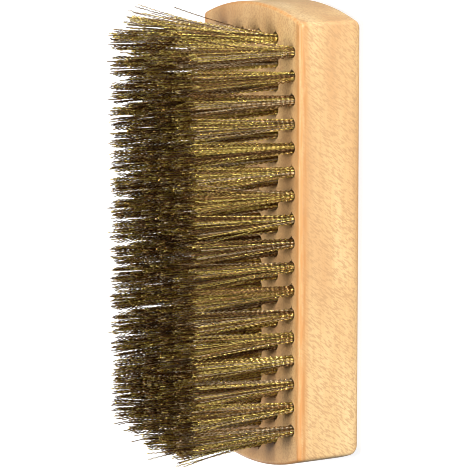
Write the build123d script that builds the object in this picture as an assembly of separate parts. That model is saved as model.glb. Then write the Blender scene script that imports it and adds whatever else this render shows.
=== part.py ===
from build123d import *
import os

# A hand brush: a beech block with blind holes, and in each hole a tuft of crimped brass wire,
# folded in two over a short flat anchor that is driven in with it. The block lies on its flat
# back with the tufts up. X runs along the block, Y across it, and the origin is at the middle
# of the back. Millimetres.

# Block
BLOCK_LENGTH = 120.0
BLOCK_WIDTH = 47.0
BLOCK_THICKNESS = 19.5
END_RISE = 4.2
CORNER_ROUNDING = 1.2
BACK_ROUNDING = 4.0
FACE_ROUNDING = 1.0

# Rows of holes, from the -Y side to the +Y side. The two middle rows hold one tuft more at a
# closer pitch, and begin level with the rows beside them at the +X end.
ROW_COUNTS = (17, 18, 19, 19, 18, 17)
ROW_SPACING = 7.8
PITCH = 6.05
MIDDLE_PITCH = 5.88
MIDDLE_SHIFT = -1.3
GROUPS_PER_ROW = 6

# Holes and anchors
HOLE_DIAMETER = 3.0
HOLE_DEPTH = 12.0
ANCHOR_LENGTH = 3.8
ANCHOR_THICKNESS = 0.35
ANCHOR_WIDTH = 2.2
FOLD_THICKNESS = 0.7

# Tufts
TUFT_ROOT_DIAMETER = 2.8
TUFT_TIP_DIAMETER = 5.6
FREE_LENGTH = 29.0

HOLE_FLOOR = BLOCK_THICKNESS - HOLE_DEPTH
ANCHOR_BOTTOM = HOLE_FLOOR + FOLD_THICKNESS
ANCHOR_TOP = ANCHOR_BOTTOM + ANCHOR_WIDTH
TIP_HEIGHT = BLOCK_THICKNESS + FREE_LENGTH


def row_points(row):
    """Centres of one row's holes, in order from the -X end to the +X end."""
    count = ROW_COUNTS[row]
    middle = count == max(ROW_COUNTS)
    pitch = MIDDLE_PITCH if middle else PITCH
    shift = MIDDLE_SHIFT if middle else 0.0
    y = (row - (len(ROW_COUNTS) - 1) / 2) * ROW_SPACING
    return [(shift + (i - (count - 1) / 2) * pitch, y) for i in range(count)]


def block_outline():
    """The plan of the block: two straight sides and two arc ends."""
    corner_x = BLOCK_LENGTH / 2 - END_RISE
    side_y = BLOCK_WIDTH / 2
    with BuildSketch() as plan:
        with BuildLine():
            Line((-corner_x, -side_y), (corner_x, -side_y))
            ThreePointArc((corner_x, -side_y), (BLOCK_LENGTH / 2, 0), (corner_x, side_y))
            Line((corner_x, side_y), (-corner_x, side_y))
            ThreePointArc((-corner_x, side_y), (-BLOCK_LENGTH / 2, 0), (-corner_x, -side_y))
        make_face()
        fillet(plan.vertices(), CORNER_ROUNDING)
    return plan.sketch


def blank_block():
    """The block before drilling, with its rounded long and end edges."""
    with BuildPart() as blank:
        add(block_outline())
        extrude(amount=BLOCK_THICKNESS)
        fillet(blank.faces().sort_by(Axis.Z)[-1].edges(), FACE_ROUNDING)
        fillet(blank.faces().sort_by(Axis.Z)[0].edges(), BACK_ROUNDING)
    return blank.part


def wooden_block():
    """The block with its blind holes and the slits that the anchors cut on their way down."""
    points = [point for row in range(len(ROW_COUNTS)) for point in row_points(row)]
    with BuildPart() as block:
        add(blank_block())
        with BuildSketch(Plane.XY.offset(HOLE_FLOOR)):
            with Locations(points):
                Circle(HOLE_DIAMETER / 2)
        extrude(amount=HOLE_DEPTH, mode=Mode.SUBTRACT)
        with BuildSketch(Plane.XY.offset(ANCHOR_BOTTOM)):
            with Locations(points):
                Rectangle(ANCHOR_LENGTH, ANCHOR_THICKNESS)
        extrude(amount=BLOCK_THICKNESS - ANCHOR_BOTTOM, mode=Mode.SUBTRACT)
    return block.part


def anchor(x, y):
    """The short flat wire that holds one tuft down, lying along X across the hole."""
    place = Location((x, y, (ANCHOR_BOTTOM + ANCHOR_TOP) / 2))
    return place * Box(ANCHOR_LENGTH, ANCHOR_THICKNESS, ANCHOR_WIDTH)


def tuft(x, y):
    """One tuft: straight in its hole, folded under its anchor, and flared above the block."""
    root = TUFT_ROOT_DIAMETER / 2
    tip = TUFT_TIP_DIAMETER / 2
    with BuildPart() as body:
        with BuildSketch(Plane.XZ):
            Polygon(
                (0, HOLE_FLOOR),
                (root, HOLE_FLOOR),
                (root, BLOCK_THICKNESS),
                (tip, TIP_HEIGHT),
                (0, TIP_HEIGHT),
                align=None,
            )
        revolve(axis=Axis.Z)
    return Location((x, y, 0)) * body.part - anchor(x, y)


def group_of(index, count):
    """Which of a row's groups the tuft with this index belongs to."""
    return index * GROUPS_PER_ROW // count


def write(name, solids):
    """Writes one node's solids to its own file."""
    shape = solids[0] if len(solids) == 1 else Compound(children=solids)
    export_step(shape, f"parts/{name}.step")


os.makedirs("parts", exist_ok=True)
write("wooden_block", [wooden_block()])
for row in range(len(ROW_COUNTS)):
    points = row_points(row)
    write(f"anchors_row_{row + 1}", [anchor(x, y) for x, y in points])
    for group in range(GROUPS_PER_ROW):
        members = [point for i, point in enumerate(points) if group_of(i, len(points)) == group]
        write(f"tufts_row_{row + 1}_group_{group + 1}", [tuft(x, y) for x, y in members])
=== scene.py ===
import math

import bpy
import numpy as np
from mathutils import Matrix, Vector


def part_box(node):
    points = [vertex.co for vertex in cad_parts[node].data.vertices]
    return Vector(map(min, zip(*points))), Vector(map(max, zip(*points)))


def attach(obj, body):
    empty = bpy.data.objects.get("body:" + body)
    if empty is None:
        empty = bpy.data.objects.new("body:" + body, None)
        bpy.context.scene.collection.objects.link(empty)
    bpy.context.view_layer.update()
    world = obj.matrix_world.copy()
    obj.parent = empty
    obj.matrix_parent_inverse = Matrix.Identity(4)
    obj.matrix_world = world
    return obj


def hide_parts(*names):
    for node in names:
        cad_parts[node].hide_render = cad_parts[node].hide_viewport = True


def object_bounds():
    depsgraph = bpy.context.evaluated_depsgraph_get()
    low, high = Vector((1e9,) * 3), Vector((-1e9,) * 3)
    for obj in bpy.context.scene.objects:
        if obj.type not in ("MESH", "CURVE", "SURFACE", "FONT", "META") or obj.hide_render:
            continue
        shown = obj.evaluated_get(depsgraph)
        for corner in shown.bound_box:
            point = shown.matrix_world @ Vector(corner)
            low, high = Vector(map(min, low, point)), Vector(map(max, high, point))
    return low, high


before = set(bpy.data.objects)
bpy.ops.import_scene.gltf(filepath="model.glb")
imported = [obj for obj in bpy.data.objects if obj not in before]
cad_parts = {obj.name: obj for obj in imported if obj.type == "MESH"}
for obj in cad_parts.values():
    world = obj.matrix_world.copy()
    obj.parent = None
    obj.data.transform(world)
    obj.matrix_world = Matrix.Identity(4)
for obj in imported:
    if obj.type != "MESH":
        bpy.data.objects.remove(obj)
cad_low, cad_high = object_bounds()

MM = 0.001
ROWS = 6
GROUPS = 6
BODY = "root"

# One wire: its thickness, and its crimps along it. CRIMP_SAMPLES is the points drawn for each crimp.
WIRE_RADIUS = 0.135 * MM
TUBE_SIDES = 3
CRIMP_LENGTH = 1.47 * MM
CRIMP_HEIGHT = 0.185 * MM
CRIMP_HEIGHT_RANGE = (0.9, 1.05)
CRIMP_TURN = math.radians(22)
CRIMP_TURN_SPREAD = 0.08
CRIMP_SAMPLES = 6
BEAT_SPREAD = 0.025 * CRIMP_LENGTH
BOW = 0.11 * MM
BOW_WAVES = (0.8, 1.5)
LENGTH_SPREAD = 0.42 * MM

# One tuft: wires folded in two under a flat anchor, so each wire has two free ends.
WIRES_PER_TUFT = 24
GOLDEN_ANGLE = math.pi * (3 - math.sqrt(5))
ROOT_RADIUS = 1.22 * MM
ROOT_SPREAD = 0.03
ANCHOR_GAP = 0.32 * MM
FOLD_HEIGHT = 0.8 * MM
FOLD_SHOULDER = 0.6 * MM
FOLD_ROUND = 0.15 * MM
TIP_RADIUS_X = 3.35 * MM
TIP_RADIUS_Y = 3.3 * MM
TIP_RADIUS_RANGE = (0.82, 1.1)
TIP_SPREAD = 0.3 * MM
CLUMPS = 5
CLUMP_PULL = 0.26
STRAY_SHARE = 0.08
STRAY_SPREAD = np.array([1.7, 1.3]) * MM

# The tufts at the block's ends: a few loose wires point outwards, and use has pushed the tips over.
LOOSE_SHARE = 0.11
LOOSE_REACH = 5.0 * MM
LOW_END_LEAN = 3.0 * MM
HIGH_END_LEAN = 2.0 * MM
LEAN_REACH = 16 * MM
END_MARGIN = 8 * MM

# Beech: the shades of its growth bands, from pale to dark, and of its grain, flecks and edges, which are
# burnished and darkened with painted shade.
BEECH_BANDS = [
    (0.32, (0.59, 0.43, 0.225)),
    (0.5, (0.52, 0.34, 0.16)),
    (0.66, (0.45, 0.26, 0.115)),
]
GRAIN = (0.43, 0.25, 0.10)
FLECK = (0.37, 0.215, 0.10)
FLECK_SLANT = math.radians(-38)
BURNISH_AND_SHADE = (0.42, 0.20, 0.065)

# The burnished band along the edges of the bristle face, darkened also as painted shade, and the fainter
# painted shade on that face's ends.
EDGE_BAND = 2.8 * MM
EDGE_FADE = 1.4 * MM
END_BAND = 11 * MM
END_FADE = 8 * MM
PAINTED_END_SHADE = 0.35

# The colour and roughness of each shade of brass in a tuft, from fresh and yellow to browned.
BRASS_TONES = [
    ((0.83, 0.655, 0.19), 0.29),
    ((0.68, 0.51, 0.15), 0.31),
    ((0.55, 0.415, 0.25), 0.33),
    ((0.34, 0.195, 0.07), 0.35),
    ((0.19, 0.10, 0.04), 0.36),
]

# The camera.
VIEW_AZIMUTH = math.radians(-9.82)
VIEW_ELEVATION = math.radians(31.3)
VIEW_DISTANCE = 0.766
LENS = 227.7

# The studio: soft lights as name, place, width and height, power and colour, and the surround's shades.
LIGHT_TARGET = (0, 0, 0.02)
LIGHTS = [
    ("front", (0.41, -1.07, 0.075), (0.22, 0.14), 20, (1.0, 0.97, 0.92)),
    ("overhead", (0.1, -0.15, 1.1), (0.25, 0.25), 17, (1.0, 0.95, 0.86)),
    ("end_fill", (1.1, -0.2, 0.09), (0.4, 0.16), 7.5, (0.85, 0.93, 1.0)),
    ("back_fill", (-0.3, 1.2, 0.08), (0.8, 0.14), 9, (0.95, 0.97, 1.0)),
]
HORIZON = (0.08, 0.09, 0.11)
ZENITH = (0.04, 0.045, 0.06)
FLOOR = (0.3, 0.3, 0.305)
FLOOR_GLOW = 0.86

scene = bpy.context.scene
scene.view_settings.view_transform = "Standard"
scene.cycles.filter_width = 1.0


def new_material(name):
    """An empty node material with its Principled shader, and a function that adds a node."""
    material = bpy.data.materials.new(name)
    material.use_nodes = True
    tree = material.node_tree
    shader = tree.nodes["Principled BSDF"]

    def add(kind, **settings):
        node = tree.nodes.new(kind)
        for key, value in settings.items():
            setattr(node, key, value)
        return node

    return material, tree, shader, add


def ramp(add, stops):
    """A colour ramp with these (position, colour) stops."""
    node = add("ShaderNodeValToRGB")
    elements = node.color_ramp.elements
    while len(elements) < len(stops):
        elements.new(0.5)
    for element, (position, colour) in zip(elements, stops):
        element.position = position
        element.color = (*colour, 1) if len(colour) == 3 else (colour[0],) * 3 + (1,)
    return node


def brass_material(index, colour, roughness):
    """Drawn brass wire of one shade, polished in some places and duller in others."""
    material, tree, shader, add = new_material(f"brass_wire_tone_{index}")
    place = add("ShaderNodeTexCoord")
    dull = add("ShaderNodeTexNoise")
    dull.inputs["Scale"].default_value = 900
    dull.inputs["Detail"].default_value = 2
    tree.links.new(place.outputs["Object"], dull.inputs["Vector"])
    amount = ramp(add, [(0.35, (roughness - 0.07,)), (0.65, (roughness + 0.12,))])
    tree.links.new(dull.outputs["Fac"], amount.inputs["Fac"])
    tree.links.new(amount.outputs["Color"], shader.inputs["Roughness"])
    shader.inputs["Base Color"].default_value = (*colour, 1)
    shader.inputs["Metallic"].default_value = 1.0
    return material


def burnish_and_painted_shade_mask(add, link, place):
    """Burnish and painted shade: 1 along the bristle face's edges and roundings, less on that face's ends, 0
    on the rest.
    """
    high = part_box("wooden_block")[1]

    def math_node(operation, a, b=None, clamp=False):
        node = add("ShaderNodeMath", operation=operation, use_clamp=clamp)
        for socket, value in zip(node.inputs, (a, b)):
            if isinstance(value, float):
                socket.default_value = value
            elif value is not None:
                link(value, socket)
        return node.outputs[0]

    # Painted shade: the rounded edges, found by their tilted normal, get the dark edge colour.
    normal = add("ShaderNodeSeparateXYZ")
    link(place.outputs["Normal"], normal.inputs["Vector"])
    upward = math_node("MAXIMUM", normal.outputs["Z"], 0.0)
    square = math_node("MULTIPLY", upward, upward)
    curved = math_node("MULTIPLY", square, math_node("SUBTRACT", 1.0, square))
    rounded_edge_shade = math_node("MULTIPLY", curved, 6.0, clamp=True)

    point = add("ShaderNodeSeparateXYZ")
    link(place.outputs["Object"], point.inputs["Vector"])
    width = math_node("ABSOLUTE", point.outputs["Y"])
    past_side = math_node("SUBTRACT", width, high.y - EDGE_BAND)
    near_side = math_node("MULTIPLY", past_side, 1 / EDGE_FADE, clamp=True)
    past_face = math_node("SUBTRACT", point.outputs["Z"], high.z - EDGE_BAND)
    near_face = math_node("MULTIPLY", past_face, 1 / EDGE_FADE, clamp=True)
    long_edges = math_node("MULTIPLY", near_side, near_face)
    # Painted shade: the bristle face gets darker towards both its ends.
    reach = math_node("ABSOLUTE", point.outputs["X"])
    past_end = math_node("SUBTRACT", reach, high.x - END_BAND)
    near_end = math_node("MULTIPLY", past_end, 1 / END_FADE, clamp=True)
    painted_end_shade = math_node("MULTIPLY", math_node("MULTIPLY", near_end, near_face), PAINTED_END_SHADE)
    return math_node("MAXIMUM", math_node("MAXIMUM", rounded_edge_shade, long_edges), painted_end_shade)


def beech_material():
    """Sanded beech with its grain along X: growth bands, fine grain, ray flecks, and edges darkened by
    burnish and painted shade.
    """
    material, tree, shader, add = new_material("beech")
    link = tree.links.new
    place = add("ShaderNodeTexCoord")

    def stretched(scale_x, scale_y, scale_z, turn_y=0.0):
        turned = add("ShaderNodeMapping")
        turned.inputs["Rotation"].default_value = (0, turn_y, 0)
        link(place.outputs["Object"], turned.inputs["Vector"])
        node = add("ShaderNodeMapping")
        node.inputs["Scale"].default_value = (scale_x, scale_y, scale_z)
        link(turned.outputs["Vector"], node.inputs["Vector"])
        return node

    def noise(vector, scale, detail=3.0, roughness=0.5):
        node = add("ShaderNodeTexNoise")
        node.inputs["Scale"].default_value = scale
        node.inputs["Detail"].default_value = detail
        node.inputs["Roughness"].default_value = roughness
        link(vector.outputs["Vector"], node.inputs["Vector"])
        return node

    def layer(below, colour, amount):
        node = add("ShaderNodeMix", data_type="RGBA")
        link(amount, node.inputs["Factor"])
        link(below, node.inputs["A"])
        node.inputs["B"].default_value = (*colour, 1)
        return node.outputs["Result"]

    bands = noise(stretched(0.16, 1.0, 1.0), 90, 3)
    band_colour = ramp(add, BEECH_BANDS)
    link(bands.outputs["Fac"], band_colour.inputs["Fac"])
    fine = noise(stretched(0.03, 1.0, 1.0), 2200, 3)
    fine_amount = ramp(add, [(0.5, (0.0,)), (0.75, (0.4,))])
    link(fine.outputs["Fac"], fine_amount.inputs["Fac"])
    colour = layer(band_colour.outputs["Color"], GRAIN, fine_amount.outputs["Color"])
    flecks = noise(stretched(1.0, 1.0, 0.26, FLECK_SLANT), 2500, 1)
    fleck_amount = ramp(add, [(0.46, (0.0,)), (0.63, (0.7,))])
    link(flecks.outputs["Fac"], fleck_amount.inputs["Fac"])
    colour = layer(colour, FLECK, fleck_amount.outputs["Color"])
    streaks = noise(stretched(0.12, 1.0, 1.0), 1100, 3)
    streak_amount = ramp(add, [(0.36, (0.4,)), (0.6, (1.0,))])
    link(streaks.outputs["Fac"], streak_amount.inputs["Fac"])
    # The dark edge colour: burnish along the edges, and painted shade on the roundings and the face's ends.
    worn_and_shaded = burnish_and_painted_shade_mask(add, link, place)
    burnish_and_shade = add("ShaderNodeMath", operation="MULTIPLY")
    link(worn_and_shaded, burnish_and_shade.inputs[0])
    link(streak_amount.outputs["Color"], burnish_and_shade.inputs[1])
    colour = layer(colour, BURNISH_AND_SHADE, burnish_and_shade.outputs[0])
    link(colour, shader.inputs["Base Color"])
    shader.inputs["Roughness"].default_value = 0.5
    bump = add("ShaderNodeBump")
    bump.inputs["Strength"].default_value = 0.15
    bump.inputs["Distance"].default_value = 0.0001
    link(fine.outputs["Fac"], bump.inputs["Height"])
    link(bump.outputs["Normal"], shader.inputs["Normal"])
    return material


def anchor_material():
    """Flat drawn steel wire."""
    material, tree, shader, add = new_material("anchor_steel")
    place = add("ShaderNodeTexCoord")
    marks = add("ShaderNodeTexNoise")
    marks.inputs["Scale"].default_value = 1500
    tree.links.new(place.outputs["Object"], marks.inputs["Vector"])
    rough = ramp(add, [(0.3, (0.3,)), (0.7, (0.5,))])
    tree.links.new(marks.outputs["Fac"], rough.inputs["Fac"])
    tree.links.new(rough.outputs["Color"], shader.inputs["Roughness"])
    shader.inputs["Base Color"].default_value = (0.45, 0.44, 0.42, 1)
    shader.inputs["Metallic"].default_value = 1.0
    return material


def paint(obj, material):
    obj.data.materials.clear()
    obj.data.materials.append(material)


def tubes(paths, radius, rng):
    """Closed tubes along paths, an array of (wire, point, xyz), as one mesh's points, faces and tones."""
    wires, points, _ = paths.shape
    along = np.gradient(paths, axis=1)
    along[:, [0, -1]] = [[0.0, 0.0, -1.0], [0.0, 0.0, 1.0]]
    along /= np.linalg.norm(along, axis=2, keepdims=True)
    side = np.array([1.0, 0.0, 0.0]) - along * along[..., :1]
    side /= np.linalg.norm(side, axis=2, keepdims=True)
    other = np.cross(along, side)
    angles = np.arange(TUBE_SIDES) * 2 * math.pi / TUBE_SIDES
    ring = np.cos(angles)[:, None] * side[:, :, None, :] + np.sin(angles)[:, None] * other[:, :, None, :]
    places = (paths[:, :, None, :] + radius * ring).reshape(-1, 3)

    start = (np.arange(wires) * points * TUBE_SIDES)[:, None, None]
    level = (np.arange(points - 1) * TUBE_SIDES)[None, :, None]
    here = np.arange(TUBE_SIDES)
    ahead = (here + 1) % TUBE_SIDES
    low = start + level
    high = low + TUBE_SIDES
    quads = np.stack([low + here, low + ahead, high + ahead, high + here], -1).reshape(-1, 4)
    first = start[:, 0] + here[::-1]
    last = start[:, 0] + (points - 1) * TUBE_SIDES + here
    tone = rng.integers(0, len(BRASS_TONES), wires)
    caps = np.concatenate([first, last])
    return places, quads, caps, np.repeat(tone, (points - 1) * TUBE_SIDES), np.tile(tone, 2)


def mesh_object(name, parts):
    """One smooth mesh object of several parts, each (points, quads, caps, tones of quads, tones of caps)."""
    places, quads, caps, total = [], [], [], 0
    tones = np.concatenate([part[3] for part in parts] + [part[4] for part in parts])
    for part_places, part_quads, part_caps, _, _ in parts:
        places.append(part_places)
        quads.append(part_quads + total)
        caps.append(part_caps + total)
        total += len(part_places)
    places, quads, caps = np.concatenate(places), np.concatenate(quads), np.concatenate(caps)
    mesh = bpy.data.meshes.new(name)
    mesh.vertices.add(len(places))
    mesh.vertices.foreach_set("co", places.astype(np.float32).ravel())
    corners = np.concatenate([quads.ravel(), caps.ravel()])
    sizes = np.concatenate([np.full(len(quads), 4), np.full(len(caps), caps.shape[1])])
    mesh.loops.add(len(corners))
    mesh.loops.foreach_set("vertex_index", corners.astype(np.int32))
    mesh.polygons.add(len(sizes))
    mesh.polygons.foreach_set("loop_start", np.concatenate([[0], np.cumsum(sizes)[:-1]]).astype(np.int32))
    smooth = np.concatenate([np.ones(len(quads), bool), np.zeros(len(caps), bool)])
    mesh.polygons.foreach_set("use_smooth", smooth)
    mesh.polygons.foreach_set("material_index", tones.astype(np.int32))
    mesh.update(calc_edges=True)
    mesh.validate()
    obj = bpy.data.objects.new(name, mesh)
    scene.collection.objects.link(obj)
    return obj


def free_ends(roots, tips, length, rng):
    """Crimped wire ends from the block's face up: roots and tips are (wire, xy) about the tuft's centre.
    A tuft's wires nest in each other, so their zigzags keep one beat, each turned to its side of the tuft."""
    count = len(roots)
    levels = int(round(length * CRIMP_SAMPLES / CRIMP_LENGTH)) + 1
    share = np.linspace(0, 1, levels)[None, :, None]
    flat = roots[:, None, :] + (tips - roots)[:, None, :] * share * (0.8 + 0.2 * share)
    waves = rng.uniform(*BOW_WAVES, (count, 1, 1))
    flat = flat + rng.normal(0, BOW, (count, 1, 2)) * np.sin(math.pi * share * waves)

    outward = np.arctan2(roots[:, 1], roots[:, 0])
    turn = outward + CRIMP_TURN * np.sign(roots[:, 0] * roots[:, 1])
    turn = turn + rng.normal(0, CRIMP_TURN_SPREAD, count)
    zigzag = np.cos(2 * math.pi * np.arange(levels) / CRIMP_SAMPLES)
    growth = np.clip(share[..., 0] * 12 + 0.4, 0, 1)
    height = CRIMP_HEIGHT * rng.uniform(*CRIMP_HEIGHT_RANGE, count)[:, None] * growth
    flat = flat + (zigzag * height)[..., None] * np.stack([np.cos(turn), np.sin(turn)], -1)[:, None, :]

    reach = np.linalg.norm(tips - roots, axis=1)
    tall = np.sqrt(length**2 - reach**2) + rng.normal(0, LENGTH_SPREAD, count)
    beat = rng.normal(0, BEAT_SPREAD, count)
    rise = length * share[..., 0] + beat[:, None] * np.sin(math.pi * share[..., 0])
    rise += (tall - length)[:, None] * share[..., 0] ** 3
    return np.concatenate([flat, rise[..., None]], -1)


def tuft_wires(centre, face, fold, length, lean, splay, rng):
    """The paths of one tuft's wires, from one free end down, under the anchor and up to the other end.
    lean shifts all its tips, and splay, -1, 0 or 1, is the way along X that its loose wires point."""
    count = WIRES_PER_TUFT
    turn = (np.arange(count) * GOLDEN_ANGLE + rng.uniform(0, math.pi)) % math.pi
    out = np.sqrt((np.arange(count) + 0.5) / count)
    disc = np.stack([out * np.cos(turn), out * np.sin(turn)], -1)
    disc = disc + rng.normal(0, ROOT_SPREAD, (count, 2))
    halves = []
    for sign in (1, -1):
        flip = np.array([1, sign])
        roots = disc * ROOT_RADIUS * flip
        roots[:, 1] = sign * np.maximum(sign * roots[:, 1], ANCHOR_GAP)
        tips = disc * flip * np.array([TIP_RADIUS_X, TIP_RADIUS_Y])
        tips = tips * rng.uniform(*TIP_RADIUS_RANGE, (count, 1))
        tips += rng.normal(0, TIP_SPREAD, tips.shape)
        gather = tips[rng.choice(count, CLUMPS, replace=False)]
        nearest = gather[np.argmin(np.linalg.norm(tips[:, None] - gather[None], axis=2), axis=1)]
        tips = tips + (nearest - tips) * CLUMP_PULL + lean
        stray = rng.random(count) < STRAY_SHARE
        tips[stray] += rng.normal(0, 1, (int(stray.sum()), 2)) * STRAY_SPREAD
        loose = rng.random(count) < LOOSE_SHARE * abs(splay)
        tips[loose, 0] += splay * rng.uniform(0.3, 1, int(loose.sum())) * LOOSE_REACH
        halves.append((roots, tips))
    up = [free_ends(roots, tips, length, rng) for roots, tips in halves]
    across, along_y = halves[0][0][:, :1], halves[0][0][:, 1:]
    deep = fold - face - FOLD_HEIGHT * 0.5 * (0.3 + out)[:, None]
    shoulder = np.full_like(across, fold + FOLD_SHOULDER - face)
    bend = [
        np.concatenate([across, along_y, shoulder], 1),
        np.concatenate([across, along_y * 0.8, deep + FOLD_ROUND], 1),
        np.concatenate([across, along_y * 0, deep], 1),
        np.concatenate([across, -along_y * 0.8, deep + FOLD_ROUND], 1),
        np.concatenate([across, -along_y, shoulder], 1),
    ]
    path = np.concatenate([up[0][:, ::-1], np.stack(bend, 1), up[1]], 1)
    return path + np.array([centre[0], centre[1], face])


def tuft_centres(node):
    """Centres of the tufts in a CAD node, from its mesh: a group's tufts stand at even steps along X."""
    low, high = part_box(node)
    points = np.array([v.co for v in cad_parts[node].data.vertices])
    foot = points[points[:, 2] < low.z + 0.2 * MM]
    xs = np.sort(foot[:, 0])
    cuts = np.flatnonzero(np.diff(xs) > 1.0 * MM)
    runs = np.split(xs, cuts + 1)
    return [((run[0] + run[-1]) / 2, (low.y + high.y) / 2) for run in runs]


def end_lean(row, x, half):
    """How far a tuft's tips lean: at both ends towards +X, but not in the rows nearest the -Y side."""
    share = float(np.clip(1 - (half - abs(x) - END_MARGIN) / LEAN_REACH, 0, 1))
    if x < 0:
        return np.array([LOW_END_LEAN * share * (row > 2), 0.0])
    return np.array([HIGH_END_LEAN * share * (row > 1), 0.0])


def build_tufts(materials):
    """Replaces each CAD group of tufts by its real wires."""
    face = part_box("wooden_block")[1].z
    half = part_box("wooden_block")[1].x
    rng = np.random.default_rng(7)
    for row in range(1, ROWS + 1):
        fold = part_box(f"anchors_row_{row}")[0].z
        for group in range(1, GROUPS + 1):
            node = f"tufts_row_{row}_group_{group}"
            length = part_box(node)[1].z - face
            parts = []
            centres = tuft_centres(node)
            for centre in centres:
                last = group == GROUPS and centre == centres[-1]
                first = group == 1 and centre == centres[0]
                splay = last - first
                lean = end_lean(row, centre[0], half)
                wires = tuft_wires(centre, face, fold, length, lean, splay, rng)
                parts.append(tubes(wires, WIRE_RADIUS, rng))
            piece = mesh_object(f"wires_row_{row}_group_{group}", parts)
            for material in materials:
                piece.data.materials.append(material)
            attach(piece, BODY)
            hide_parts(node)


def build_camera():
    """A long lens that looks down past the tufts, turned so that X runs up the picture."""
    level = Vector((math.sin(VIEW_AZIMUTH), math.cos(VIEW_AZIMUTH), 0))
    forward = level * math.cos(VIEW_ELEVATION) - Vector((0, 0, math.sin(VIEW_ELEVATION)))
    right = forward.cross(Vector((1, 0, 0))).normalized()
    up = right.cross(forward)
    target = Vector((0, 0, (cad_low.z + cad_high.z) / 2))
    data = bpy.data.cameras.new("camera")
    data.sensor_width = 36
    data.lens = LENS
    camera = bpy.data.objects.new("camera", data)
    turn = Matrix((right, up, -forward)).transposed().to_4x4()
    camera.matrix_world = Matrix.Translation(target - forward * VIEW_DISTANCE) @ turn
    scene.collection.objects.link(camera)
    scene.camera = camera


def area_light(name, place, size, power, colour):
    """A rectangular soft light aimed at the object, which no camera sees."""
    data = bpy.data.lights.new(name, "AREA")
    data.shape = "RECTANGLE"
    data.size, data.size_y = size
    data.energy = power
    data.color = colour
    light = bpy.data.objects.new(name, data)
    light.location = place
    light.rotation_euler = (Vector(LIGHT_TARGET) - Vector(place)).to_track_quat("-Z", "Y").to_euler()
    light.visible_camera = False
    scene.collection.objects.link(light)


def build_studio():
    """A pale floor and surround, and soft lights. The camera sees both as white, while the object
    is lit by darker ones, so that the bright wires keep their contrast."""
    world = bpy.data.worlds.new("surround")
    world.use_nodes = True
    tree = world.node_tree
    background = tree.nodes["Background"]
    seen = tree.nodes.new("ShaderNodeLightPath")
    colour = tree.nodes.new("ShaderNodeMix")
    colour.data_type = "RGBA"
    place = tree.nodes.new("ShaderNodeTexCoord")
    split = tree.nodes.new("ShaderNodeSeparateXYZ")
    tree.links.new(place.outputs["Generated"], split.inputs["Vector"])
    sky = tree.nodes.new("ShaderNodeMix")
    sky.data_type = "RGBA"
    sky.inputs["A"].default_value = (*HORIZON, 1)
    sky.inputs["B"].default_value = (*ZENITH, 1)
    tree.links.new(split.outputs["Z"], sky.inputs["Factor"])
    tree.links.new(sky.outputs["Result"], colour.inputs["A"])
    colour.inputs["B"].default_value = (1, 1, 1, 1)
    tree.links.new(seen.outputs["Is Camera Ray"], colour.inputs["Factor"])
    tree.links.new(colour.outputs["Result"], background.inputs["Color"])
    scene.world = world

    material, tree, shader, add = new_material("white_floor")
    shader.inputs["Base Color"].default_value = (*FLOOR, 1)
    shader.inputs["Roughness"].default_value = 0.9
    shader.inputs["Emission Color"].default_value = (1, 1, 1, 1)
    seen = add("ShaderNodeLightPath")
    glow = add("ShaderNodeMath", operation="MULTIPLY")
    glow.inputs[1].default_value = FLOOR_GLOW
    tree.links.new(seen.outputs["Is Camera Ray"], glow.inputs[0])
    tree.links.new(glow.outputs[0], shader.inputs["Emission Strength"])
    bpy.ops.mesh.primitive_plane_add(size=8, location=(0, 0, 0))
    floor = bpy.context.object
    floor.name = "floor"
    paint(floor, material)

    for name, place, size, power, colour in LIGHTS:
        area_light(name, place, size, power, colour)


brass = [brass_material(index, *shade) for index, shade in enumerate(BRASS_TONES)]
beech = beech_material()
steel = anchor_material()
paint(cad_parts["wooden_block"], beech)
for row in range(1, ROWS + 1):
    paint(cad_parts[f"anchors_row_{row}"], steel)
build_tufts(brass)
build_camera()
build_studio()
